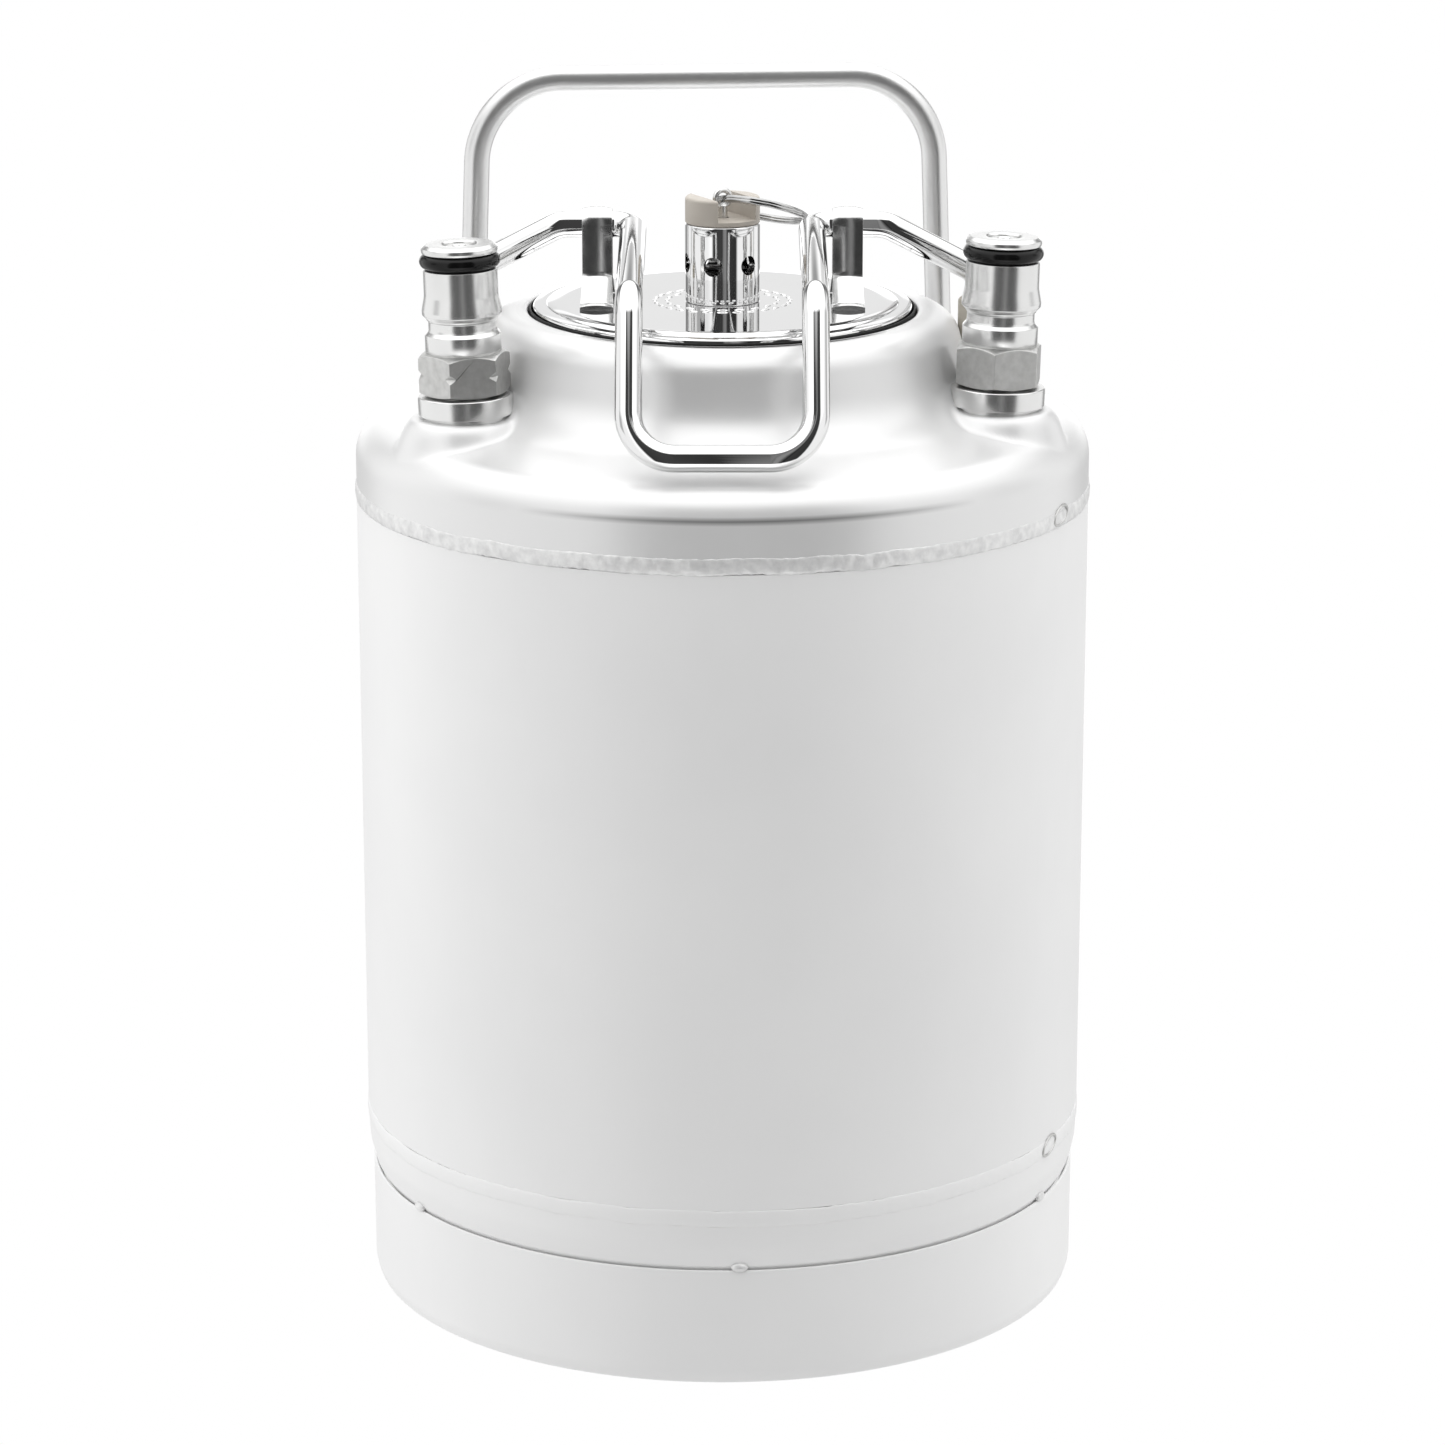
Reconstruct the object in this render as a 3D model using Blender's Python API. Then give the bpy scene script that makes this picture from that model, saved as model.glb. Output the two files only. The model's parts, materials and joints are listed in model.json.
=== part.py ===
"""Small stainless ball-lock drinks keg, built as the separate pieces it is made of.

The origin is the centre of the base, +Z is up and -Y is the front, where the lid's
bail handle lies. Every length below is in millimetres and every angle in degrees;
meshes are made in metres.
"""

import math

import bmesh
import bpy
from mathutils import Matrix, Vector

MM = 0.001
GAP = 0.3                    # clearance between pieces that touch

# Vessel
BODY_R = 84.0
WALL = 1.2
SKIRT_R = 82.8
BIG_SIDES = 48               # facets round the vessel
SKIRT_TOP = 28.0
LOWER_WELD = (38.4, 41.5)    # z range of the weld bead round the bottom seam
UPPER_WELD = (187.0, 190.0)
WELD_PROUD = 0.5

# Neck and its oval mouth
NECK_R = 52.5
NECK_TOP = 229.5
MOUTH = (44.4, 47.0)         # half-axes of the oval mouth along X and Y
LIP_UNDER = 227.9

# Lid group, turned as it was last put on
LID_TURN = -4.7
LID_TOP = 231.0
LID_WALL = 1.6
LID_SIDES = 40
PRV_R = 8.5
PRV_TOP = 249.0
CAP_TOP = 255.0
CAP_FLOOR = 250.1            # floor of the slot across the cap
SLOT_WIDTH = 9.6
SLOT_TURN = -62.0            # direction of the slot, from +X of the lid
EYE_Z = 254.4
EYE_R = 1.9
RING_TILT = 19.0             # the pull ring droops by this much
RING_TURN = 28.0             # points this far behind +X of the lid
RING_ROLL = -11.0            # and leans backward by this much about its own direction
RING_R = 10.5
RING_WIRE_R = 0.95

# Bail: a bent wire that turns in two clips
WIRE_R = 3.0
PIVOT_Z = 248.5
CLIP_X = 28.4
BAIL_ARM_X = 20.2
BAIL_BAR = (-75.5, 210.4)    # y and z of the bar across the front of the loop
BAIL_ELBOW = (-58.0, 242.0)  # y and z of the corner where the loop turns down
BAIL_SHOULDER_X = 37.0       # the wire leaves its pivot line here, outside the clips
BAIL_KNEE_Z = 236.5          # and turns down here, above the boots
BAIL_FOOT = Vector((59.0, 4.5, 213.4))
BAIL_BENDS = [10.0, 8.0, 4.8, 8.0, 6.0]
BOOT_R = 5.2
BOOT_TOP = 231.0
CLIP_WIDTH = 6.8
CLIP_THICK = 0.9
CLIP_FRONT = -13.0
CLIP_BACK = 9.0

# Ball-lock posts
POST_X = 59.8
POST_Y = -28.0
POST_BASE = 210.8            # top plane of the raised boss
POST_TILT = 1.65             # the posts lean outward
BOSS_R = 12.8
POST_HOLE_R = 8.0
HEX_AF = 18.0
POST_SIDES = 18

# Rear carrying handle
HANDLE_Y = 47.0
HANDLE_TOP = 275.5
HANDLE_X = 53.5
HANDLE_FOOT_X = 56.0
HANDLE_CORNER_R = 20.0

COLOURS = {
    "steel": ((0.62, 0.62, 0.61), 0.34, 1.0),
    "polished": ((0.75, 0.75, 0.75), 0.08, 1.0),
    "rubber": ((0.015, 0.015, 0.015), 0.55, 0.0),
    "boot": ((0.66, 0.60, 0.50), 0.5, 0.0),
    "cap": ((0.72, 0.66, 0.54), 0.4, 0.0),
    "pipe": ((0.66, 0.66, 0.65), 0.22, 1.0),
}


def circle(radius, z):
    """A round section of a turned piece, as a function of the angle."""
    return lambda angle: Vector((radius * math.cos(angle), radius * math.sin(angle), z))


def oval(half_x, half_y, z):
    return lambda angle: Vector((half_x * math.cos(angle), half_y * math.sin(angle), z))


def hexagon(across_flats, z):
    def point(angle):
        reach = across_flats / 2 / math.cos(angle % (math.pi / 3) - math.pi / 6)
        return Vector((reach * math.cos(angle), reach * math.sin(angle), z))
    return point


def make_material(piece_name, kind):
    colour, roughness, metallic = COLOURS[kind]
    material = bpy.data.materials.new(piece_name + "_finish")
    material.use_nodes = True
    shader = material.node_tree.nodes["Principled BSDF"]
    shader.inputs["Base Color"].default_value = (*colour, 1.0)
    shader.inputs["Roughness"].default_value = roughness
    shader.inputs["Metallic"].default_value = metallic
    return material


def add_piece(name, bm, kind, place=Matrix()):
    """Turn a mesh in millimetres into a placed, shaded object."""
    bmesh.ops.recalc_face_normals(bm, faces=bm.faces)
    bmesh.ops.scale(bm, vec=(MM, MM, MM), verts=bm.verts)
    mesh = bpy.data.meshes.new(name)
    bm.to_mesh(mesh)
    bm.free()
    mesh.shade_smooth()
    mesh.set_sharp_from_angle(angle=math.radians(35))
    piece = bpy.data.objects.new(name, mesh)
    bpy.context.scene.collection.objects.link(piece)
    turn = place.to_3x3().to_4x4()
    piece.matrix_world = Matrix.Translation(place.translation * MM) @ turn
    mesh.materials.append(make_material(name, kind))
    return piece


def hide_tool(piece):
    """Mark an object as one that only shapes other pieces."""
    piece.hide_render = True
    piece.display_type = "WIRE"
    return piece


def bridge(bm, lower, upper):
    """Join two rows of vertices with quads, or with triangles where one is a pole."""
    count = max(len(lower), len(upper))
    for i in range(count):
        j = (i + 1) % count
        corners = [lower[i % len(lower)], lower[j % len(lower)],
                   upper[j % len(upper)], upper[i % len(upper)]]
        unique = [v for k, v in enumerate(corners) if v not in corners[:k]]
        if len(unique) > 2:
            bm.faces.new(unique)


def loft(bm, sections, sides):
    """Skin a list of sections; it closes on itself unless it starts and ends at a pole."""
    rows = []
    for section in sections:
        angles = [2 * math.pi * i / sides for i in range(sides)]
        points = [section(angle) for angle in angles]
        if (points[0] - points[sides // 2]).length < 1e-9:
            points = points[:1]
        rows.append([bm.verts.new(point) for point in points])
    for lower, upper in zip(rows, rows[1:]):
        bridge(bm, lower, upper)
    if len(rows[0]) > 1:
        bridge(bm, rows[-1], rows[0])


def turned(name, sections, kind, sides, place=Matrix()):
    bm = bmesh.new()
    loft(bm, sections, sides)
    return add_piece(name, bm, kind, place)


def circles(profile):
    return [circle(radius, z) for radius, z in profile]


def box_mesh(bm, size, centre, turn=Matrix()):
    scale = Matrix.Diagonal((*size, 1.0))
    bmesh.ops.create_cube(bm, size=1.0, matrix=turn @ Matrix.Translation(centre) @ scale)


def cylinder_mesh(bm, radius, low, high, sides, place=Matrix()):
    """A closed cylinder along the Z axis of its placing matrix."""
    lift = Matrix.Translation((0, 0, (low + high) / 2))
    bmesh.ops.create_cone(bm, cap_ends=True, segments=sides, radius1=radius, radius2=radius,
                          depth=high - low, matrix=place @ lift)


def rounded_path(corners, radii, steps):
    """A polyline whose inner corners are replaced with arcs of the given radii."""
    points = [corners[0]]
    for before, corner, after, radius in zip(corners, corners[1:], corners[2:], radii):
        back = (before - corner).normalized()
        ahead = (after - corner).normalized()
        half = back.angle(ahead) / 2
        centre = corner + (back + ahead).normalized() * radius / math.sin(half)
        start = corner + back * radius / math.tan(half) - centre
        end = corner + ahead * radius / math.tan(half) - centre
        sweep_angle = start.angle(end)
        turns = [Matrix.Rotation(sweep_angle * i / steps, 3, start.cross(end))
                 for i in range(steps + 1)]
        points += [centre + turn @ start for turn in turns]
    points.append(corners[-1])
    return points


def sweep(bm, path, radii, sides, bore=0.0, closed=False):
    """Carry a round section, or a tube's, along a path without twisting it."""
    count = len(path)
    ahead = [path[(i + 1) % count] - path[i - 1] for i in range(count)]
    if not closed:
        ahead[0] = path[1] - path[0]
        ahead[-1] = path[-1] - path[-2]
    side = ahead[0].orthogonal().normalized()
    outer, inner = [], []
    for point, direction, radius in zip(path, ahead, radii):
        direction.normalize()
        side = (side - direction * side.dot(direction)).normalized()
        other = direction.cross(side)
        for row, reach in ((outer, radius), (inner, bore)):
            angles = [2 * math.pi * i / sides for i in range(sides)]
            row.append([bm.verts.new(point + (side * math.cos(a) + other * math.sin(a)) * reach)
                        for a in angles] if reach else None)
    for lower, upper in zip(outer, outer[1:]):
        bridge(bm, lower, upper)
    if closed:
        bridge(bm, outer[-1], outer[0])
    elif bore:
        for lower, upper in zip(inner, inner[1:]):
            bridge(bm, lower, upper)
        bridge(bm, outer[0], inner[0])
        bridge(bm, outer[-1], inner[-1])
    else:
        bm.faces.new(outer[0])
        bm.faces.new(outer[-1])


def wire(name, path, radius, kind, sides, place=Matrix(), bore=0.0, closed=False):
    bm = bmesh.new()
    sweep(bm, path, [radius] * len(path), sides, bore, closed)
    return add_piece(name, bm, kind, place)


def coil_spring(name, radius, wire_radius, low, high, turns, place):
    steps = 8 * turns
    path = [Vector((radius * math.cos(2 * math.pi * turns * i / steps),
                    radius * math.sin(2 * math.pi * turns * i / steps),
                    low + wire_radius + (high - low - 2 * wire_radius) * i / steps))
            for i in range(steps + 1)]
    return wire(name, path, wire_radius, "pipe", 5, place)


def boolean(piece, tool, operation):
    modifier = piece.modifiers.new(operation.title(), "BOOLEAN")
    modifier.operation = operation
    modifier.object = tool
    modifier.solver = "EXACT"


def lid_place():
    return Matrix.Rotation(math.radians(LID_TURN), 4, "Z")


def post_place(side):
    """Placing matrix of a post: origin on its boss, Z along its leaning axis."""
    lean = Matrix.Rotation(math.radians(POST_TILT) * side, 4, "Y")
    return Matrix.Translation((POST_X * side, POST_Y, POST_BASE)) @ lean


# ---------------------------------------------------------------- vessel

def weld_bead(name, low, high):
    middle = (low + high) / 2
    inner = BODY_R - WALL
    turned(name, circles([(BODY_R, low), (inner, low), (inner, high), (BODY_R, high),
                          (BODY_R + WELD_PROUD, middle)]), "steel", BIG_SIDES)


def body_shell():
    low = LOWER_WELD[1] + GAP
    high = UPPER_WELD[0] - GAP
    inner = BODY_R - WALL
    turned("body_shell", circles([(BODY_R, low), (inner, low), (inner, high), (BODY_R, high)]),
           "steel", BIG_SIDES)


def bottom_dome():
    high = LOWER_WELD[0] - GAP
    outside = [(BODY_R, high), (BODY_R - 0.4, 33.0), (BODY_R - 1.5, SKIRT_TOP + 0.35),
               (80.9, 25.5), (74.0, 18.5), (52.0, 11.0), (0.0, 7.0)]
    inside = [(0.0, 8.4), (52.0, 12.6), (73.2, 20.0), (79.9, 27.5), (BODY_R - WALL, high)]
    bm = bmesh.new()
    sections = circles(outside + inside)
    loft_open(bm, sections, BIG_SIDES)
    add_piece("bottom_dome", bm, "steel")


def loft_open(bm, sections, sides):
    """Skin a shell whose profile touches the axis twice and joins up at its rim."""
    middle = next(i for i, section in enumerate(sections) if section(0.0).xy.length < 1e-9)
    rows = []
    for section in sections:
        points = [section(2 * math.pi * i / sides) for i in range(sides)]
        if points[0].xy.length < 1e-9:
            points = points[:1]
        rows.append([bm.verts.new(point) for point in points])
    for i, (lower, upper) in enumerate(zip(rows, rows[1:])):
        if i != middle:
            bridge(bm, lower, upper)
    bridge(bm, rows[-1], rows[0])


def base_skirt():
    turned("base_skirt", circles([
        (SKIRT_R, 2.5), (SKIRT_R + 0.1, 26.5), (SKIRT_R - 0.05, SKIRT_TOP), (81.25, 25.3),
        (81.3, 24.0), (81.3, 2.5), (80.4, 0.0), (82.0, 0.0)]), "steel", BIG_SIDES)


def boss_tool(side):
    """The raised boss pressed up under a post, with a ramp towards the neck."""
    place = post_place(side)
    profile = [(0.0, -4.5), (BOSS_R + 1.2, -4.5), (BOSS_R, -1.0), (BOSS_R - 1.0, 0.0), (0.0, 0.0)]
    return hide_tool(turned("boss_tool", circles(profile), "steel", 28, place))


def post_hole_tool(side):
    bm = bmesh.new()
    cylinder_mesh(bm, POST_HOLE_R, -12.0, 4.0, POST_SIDES, post_place(side))
    return hide_tool(add_piece("post_hole_tool", bm, "steel"))


def top_dome():
    """Shoulder and neck in one shell: round outside, an oval mouth inside."""
    low = UPPER_WELD[1] + GAP
    half_x, half_y = MOUTH
    inner_neck = NECK_R - 1.5
    outside = circles([
        (BODY_R, low), (BODY_R, 196.5), (82.7, 200.4), (79.8, 203.0), (75.5, 204.7),
        (58.0, 209.8), (53.9, 212.4), (NECK_R, 217.5), (NECK_R, 223.0), (51.6, 226.6),
        (49.4, 228.9)])
    lip = [oval(half_x + 1.6, half_y + 0.7, NECK_TOP), oval(half_x, half_y, NECK_TOP - 0.5),
           oval(half_x, half_y, LIP_UNDER)]
    inside = circles([(48.9, LIP_UNDER - 0.4), (inner_neck, 224.5), (inner_neck, 212.6),
                      (56.8, 208.5), (74.8, 203.2), (80.6, 199.6), (BODY_R - WALL, 196.0),
                      (BODY_R - WALL, low)])
    dome = turned("top_dome", outside + lip + inside, "steel", BIG_SIDES)
    for side in (-1, 1):
        boolean(dome, boss_tool(side), "UNION")
    for side in (-1, 1):
        boolean(dome, post_hole_tool(side), "DIFFERENCE")


def rear_handle():
    foot_z = 206.6
    corners = [Vector((-HANDLE_FOOT_X, HANDLE_Y, foot_z)), Vector((-HANDLE_X, HANDLE_Y, HANDLE_TOP)),
               Vector((HANDLE_X, HANDLE_Y, HANDLE_TOP)), Vector((HANDLE_FOOT_X, HANDLE_Y, foot_z))]
    wire("rear_handle", rounded_path(corners, [HANDLE_CORNER_R] * 2, 7), WIRE_R, "steel", 10)


# ---------------------------------------------------------------- lid group

def mouth_oval(offset, z):
    return oval(MOUTH[0] + offset, MOUTH[1] + offset, z)


def lid():
    under = LID_TOP - LID_WALL
    sections = [circle(6.2, LID_TOP), mouth_oval(-2.6, LID_TOP), mouth_oval(-1.3, 229.8),
                mouth_oval(-1.1, 222.2), mouth_oval(2.9, 221.9), mouth_oval(2.9, 220.3),
                mouth_oval(-2.7, 220.3), mouth_oval(-3.0, 228.6), mouth_oval(-3.8, under),
                circle(6.2, under)]
    turned("lid", sections, "polished", LID_SIDES, lid_place())


def lid_gasket():
    sections = [mouth_oval(-0.7, 223.4), mouth_oval(-0.7, 226.9), mouth_oval(1.4, 227.4),
                mouth_oval(3.0, 225.0), mouth_oval(3.0, 223.2), mouth_oval(1.4, 222.5)]
    turned("lid_gasket", sections, "rubber", LID_SIDES, lid_place())


def bail_clip(name, side):
    """A saddle strap over the bail wire, its two feet spot-welded to the lid."""
    inner = WIRE_R + GAP
    thick = CLIP_THICK
    foot = LID_TOP + GAP
    steps = 8
    arc = [math.pi * i / steps for i in range(steps + 1)]
    outer_line = [Vector((0, CLIP_FRONT, foot)), Vector((0, CLIP_FRONT, foot + thick)),
                  Vector((0, -inner - thick - 1.6, foot + thick + 0.8)),
                  Vector((0, -inner - thick, foot + 4.5))]
    outer_line += [Vector((0, -math.cos(a) * (inner + thick),
                           PIVOT_Z + math.sin(a) * (inner + thick))) for a in arc]
    outer_line += [Vector((0, inner + thick, foot + 4.5)),
                   Vector((0, inner + thick + 1.6, foot + thick + 0.8)),
                   Vector((0, CLIP_BACK, foot + thick)), Vector((0, CLIP_BACK, foot))]
    inner_line = [Vector((0, inner + 1.4, foot)), Vector((0, inner, foot + 4.5))]
    inner_line += [Vector((0, math.cos(a) * inner, PIVOT_Z + math.sin(a) * inner)) for a in arc]
    inner_line += [Vector((0, -inner, foot + 4.5)), Vector((0, -inner - 1.4, foot))]
    bm = bmesh.new()
    width = Vector((CLIP_WIDTH, 0, 0))
    centre = Vector((CLIP_X * side, 0, 0))
    outline = [bm.verts.new(centre - width / 2 + point) for point in outer_line + inner_line]
    face = bm.faces.new(outline)
    grown = bmesh.ops.extrude_face_region(bm, geom=[face])
    moved = [item for item in grown["geom"] if isinstance(item, bmesh.types.BMVert)]
    bmesh.ops.translate(bm, vec=width, verts=moved)
    add_piece(name, bm, "polished", lid_place())


def bail_path():
    """Centre line of the bail from the left foot to the right foot."""
    half = [Vector((0, *BAIL_BAR)), Vector((BAIL_ARM_X, *BAIL_BAR)),
            Vector((BAIL_ARM_X, *BAIL_ELBOW)), Vector((BAIL_ARM_X, 0, PIVOT_Z)),
            Vector((BAIL_SHOULDER_X, 0, PIVOT_Z)), Vector((BAIL_FOOT.x, BAIL_FOOT.y, BAIL_KNEE_Z)),
            Vector((BAIL_FOOT.x, BAIL_FOOT.y, BAIL_FOOT.z + 4.0))]
    right = rounded_path(half, BAIL_BENDS, 4)
    left = [Vector((-p.x, p.y, p.z)) for p in reversed(right[1:])]
    return left + right[1:]


def bail():
    wire("bail", bail_path(), WIRE_R, "polished", 8, lid_place())


def bail_boot(name, side):
    """A moulded sleeve pushed over one end of the bail wire."""
    place = lid_place() @ Matrix.Translation((BAIL_FOOT.x * side, BAIL_FOOT.y, 0))
    low = BAIL_FOOT.z
    bore = WIRE_R + GAP
    sections = circles([(0.0, low), (BOOT_R - 1.2, low), (BOOT_R, low + 1.2),
                        (BOOT_R, BOOT_TOP - 0.8), (BOOT_R - 0.8, BOOT_TOP), (bore, BOOT_TOP)])
    sections += circles([(bore, low + 3.4), (0.0, low + 3.4)])
    turned(name, sections, "boot", 14, place)


# ---------------------------------------------------------------- relief valve

def ring_axes():
    """Direction in which the pull ring lies, and the direction of its swing axis."""
    tilt = math.radians(RING_TILT)
    turn = math.radians(RING_TURN)
    reach = Vector((math.cos(tilt) * math.cos(turn), math.cos(tilt) * math.sin(turn),
                    -math.sin(tilt)))
    level = Vector((-math.sin(turn), math.cos(turn), 0))
    return reach, Matrix.Rotation(math.radians(RING_ROLL), 3, reach) @ level


def prv_body():
    seat = LID_TOP + 4.0
    body = turned("prv_body", circles([
        (PRV_R, LID_TOP + GAP), (PRV_R, PRV_TOP - 0.6), (PRV_R - 0.5, PRV_TOP), (6.7, PRV_TOP),
        (6.7, seat), (2.2, seat), (2.2, 223.2), (5.2, 223.2), (5.8, 223.9),
        (5.8, LID_TOP + GAP)]), "polished", 24, lid_place())
    bm = bmesh.new()
    for i in range(6):
        turn = Matrix.Rotation(math.radians(60 * i + 15), 4, "Z")
        side = turn @ Matrix.Translation((0, 0, 240.0)) @ Matrix.Rotation(math.pi / 2, 4, "Y")
        roll = Matrix.Rotation(math.radians(15), 4, "Z")
        cylinder_mesh(bm, 2.2, 5.5, 10.5, 8, lid_place() @ side @ roll)
    boolean(body, hide_tool(add_piece("vent_tool", bm, "steel")), "DIFFERENCE")


def prv_nut():
    sections = [hexagon(17.0, 225.2), hexagon(17.0, 229.0), circle(6.1, 229.0), circle(6.1, 225.2)]
    turned("prv_nut", sections, "steel", 18, lid_place())


def prv_cap():
    cap = turned("prv_cap", circles([
        (PRV_R, PRV_TOP + GAP), (PRV_R, CAP_TOP - 0.8), (PRV_R - 0.8, CAP_TOP), (1.5, CAP_TOP),
        (1.5, 246.6), (6.4, 246.6), (6.4, PRV_TOP + GAP)]), "cap", 24, lid_place())
    bm = bmesh.new()
    turn = Matrix.Rotation(math.radians(SLOT_TURN), 4, "Z")
    depth = 2 * (CAP_TOP - CAP_FLOOR)
    box_mesh(bm, (30.0, SLOT_WIDTH, depth), Vector((0, 0, CAP_TOP)), lid_place() @ turn)
    boolean(cap, hide_tool(add_piece("slot_tool", bm, "cap")), "DIFFERENCE")


def prv_stem():
    """Pull stem: a foot under the seal and an eye above the cap for the ring."""
    seat = LID_TOP + 4.0
    top = EYE_Z - EYE_R
    stem = turned("prv_stem", circles([
        (0.0, seat - 2.0), (1.8, seat - 2.0), (1.8, seat - 0.1), (1.1, seat - 0.1), (1.1, top),
        (0.0, top)]), "steel", 10, lid_place())
    swing = ring_axes()[1]
    across = swing.cross(Vector((0, 0, 1))).normalized()
    eye = [Vector((0, 0, EYE_Z)) + (across * math.cos(a) + Vector((0, 0, 1)) * math.sin(a)) * EYE_R
           for a in (2 * math.pi * i / 14 for i in range(14))]
    loop = wire("eye_tool", eye, 0.6, "steel", 6, lid_place(), closed=True)
    boolean(stem, hide_tool(loop), "UNION")


def prv_seal():
    low = LID_TOP + 4.0 + GAP
    turned("prv_seal", circles([(1.4, low), (5.2, low), (5.2, low + 1.6), (1.4, low + 1.6)]),
           "rubber", 16, lid_place())


def pull_ring():
    reach, swing = ring_axes()
    centre = Vector((0, 0, EYE_Z)) + reach * RING_R
    path = [centre - (reach * math.cos(a) - swing * math.sin(a)) * RING_R
            for a in (2 * math.pi * i / 28 for i in range(28))]
    wire("pull_ring", path, RING_WIRE_R, "polished", 6, lid_place(), closed=True)


# ---------------------------------------------------------------- posts

def fitting(prefix, side):
    """Threaded fitting welded into the shoulder; the post screws onto its spigot."""
    turned(prefix + "_fitting", circles([
        (10.65, GAP), (10.65, 5.2), (6.8, 5.2), (6.8, 13.0), (4.4, 13.0), (4.4, -4.0),
        (7.6, -4.0), (7.6, GAP)]), "steel", POST_SIDES, post_place(side))


def post(prefix, side):
    sections = [hexagon(HEX_AF, 6.2), hexagon(HEX_AF, 14.7)]
    sections += circles([
        (8.5, 15.1), (8.5, 19.3), (7.5, 19.8), (7.5, 21.8), (8.3, 22.4), (8.9, 23.8),
        (8.3, 26.0), (8.3, 33.6), (7.3, 33.6), (7.3, 37.1), (8.5, 37.1), (8.5, 38.4),
        (7.9, 39.0), (3.7, 39.0), (3.7, 36.8), (5.6, 36.3), (5.6, 17.0), (7.1, 17.0),
        (7.1, 6.2)])
    turned(prefix + "_post", sections, "steel", POST_SIDES, post_place(side))


def post_ring(prefix, side):
    turned(prefix + "_post_o_ring", circles([
        (7.6, 34.1), (8.6, 34.0), (9.0, 35.3), (8.6, 36.7), (7.6, 36.6)]),
        "rubber", POST_SIDES, post_place(side))


def poppet(prefix, side):
    turned(prefix + "_poppet", circles([
        (0.0, 26.0), (1.5, 26.0), (1.5, 33.2), (4.9, 33.4), (4.9, 35.6), (3.3, 36.2),
        (3.3, 38.2), (2.4, 38.7), (0.0, 38.7)]), "steel", 14, post_place(side))


def dip_tube(prefix, side, path):
    """A thin pipe hanging from a flange that is clamped in the post."""
    flange = [Vector((0, 0, 16.3)), Vector((0, 0, 15.2))]
    radii = [6.5, 6.5] + [3.9] * len(path)
    bm = bmesh.new()
    sweep(bm, flange + path, radii, 10, bore=3.1)
    add_piece(prefix + "_dip_tube", bm, "pipe", post_place(side))


def dip_tube_ring(prefix, side):
    turned(prefix + "_dip_tube_o_ring", circles([
        (4.3, 13.6), (6.3, 13.6), (6.3, 14.8), (4.3, 14.8)]), "rubber", 14, post_place(side))


def liquid_path():
    """Down beside the wall, then across to the lowest point of the keg."""
    corners = [Vector((0, 0, 15.2)), Vector((0, 0, -125.0)), Vector((-32.0, 14.0, -178.0)),
               Vector((-56.0, 25.0, -197.0))]
    return rounded_path(corners, [50.0, 30.0], 3)


def posts():
    for prefix, side in (("gas", -1), ("liquid", 1)):
        fitting(prefix, side)
        post(prefix, side)
        post_ring(prefix, side)
        poppet(prefix, side)
        dip_tube_ring(prefix, side)
        coil_spring(prefix + "_poppet_spring", 3.6, 0.45, 16.7, 33.0, 4, post_place(side))
    dip_tube("gas", -1, [Vector((0, 0, z)) for z in (15.2, -20.0)])
    dip_tube("liquid", 1, liquid_path())


def main():
    for leftover in list(bpy.data.objects):
        bpy.data.objects.remove(leftover, do_unlink=True)
    base_skirt()
    bottom_dome()
    weld_bead("bottom_weld", *LOWER_WELD)
    body_shell()
    weld_bead("top_weld", *UPPER_WELD)
    top_dome()
    rear_handle()
    lid()
    lid_gasket()
    bail_clip("bail_clip_left", -1)
    bail_clip("bail_clip_right", 1)
    bail()
    bail_boot("bail_boot_left", -1)
    bail_boot("bail_boot_right", 1)
    prv_body()
    prv_nut()
    prv_cap()
    prv_stem()
    prv_seal()
    coil_spring("prv_spring", 3.9, 0.45, 237.2, 246.3, 4, lid_place())
    pull_ring()
    posts()


main()
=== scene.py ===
"""Looks of the small ball-lock keg: fine surfaces, finishes, light and camera.

Lengths are millimetres, and meshes are made in metres. Joints and main sizes are read from
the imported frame. The other sizes are written here to match the part's CAD, apart from the
foot of the neck, which flows into the shoulder in a wider curve than in the CAD.
"""

import json
import math

import bmesh
import bpy
from mathutils import Matrix, Vector, noise


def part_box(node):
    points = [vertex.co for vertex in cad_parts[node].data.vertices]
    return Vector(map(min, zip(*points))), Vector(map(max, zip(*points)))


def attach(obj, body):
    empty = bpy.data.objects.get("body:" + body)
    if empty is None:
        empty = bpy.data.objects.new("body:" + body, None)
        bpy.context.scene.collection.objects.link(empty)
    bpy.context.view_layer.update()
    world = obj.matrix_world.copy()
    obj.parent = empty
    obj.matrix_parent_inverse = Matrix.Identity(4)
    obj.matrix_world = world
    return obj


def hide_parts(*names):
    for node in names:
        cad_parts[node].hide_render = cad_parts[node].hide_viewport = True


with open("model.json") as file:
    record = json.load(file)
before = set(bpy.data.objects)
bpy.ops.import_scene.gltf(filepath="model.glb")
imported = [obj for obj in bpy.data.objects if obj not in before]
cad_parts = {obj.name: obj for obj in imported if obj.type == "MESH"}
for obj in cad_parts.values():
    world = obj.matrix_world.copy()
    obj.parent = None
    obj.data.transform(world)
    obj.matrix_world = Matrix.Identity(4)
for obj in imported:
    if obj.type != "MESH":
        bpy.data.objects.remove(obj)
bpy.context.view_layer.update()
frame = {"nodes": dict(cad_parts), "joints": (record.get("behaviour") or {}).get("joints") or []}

MM = 0.001
JOINTS = {joint["name"]: joint for joint in frame["joints"]}


def low(node):
    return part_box(node)[0] / MM


def high(node):
    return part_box(node)[1] / MM


# Vessel: what the frame gives
BODY_R = high("body_shell").x
SHELL_LOW = low("body_shell").z
SHELL_HIGH = high("body_shell").z
SKIRT_R = high("base_skirt").x
SKIRT_TOP = high("base_skirt").z
DOME_LOW = low("top_dome").z
NECK_TOP = high("top_dome").z

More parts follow.
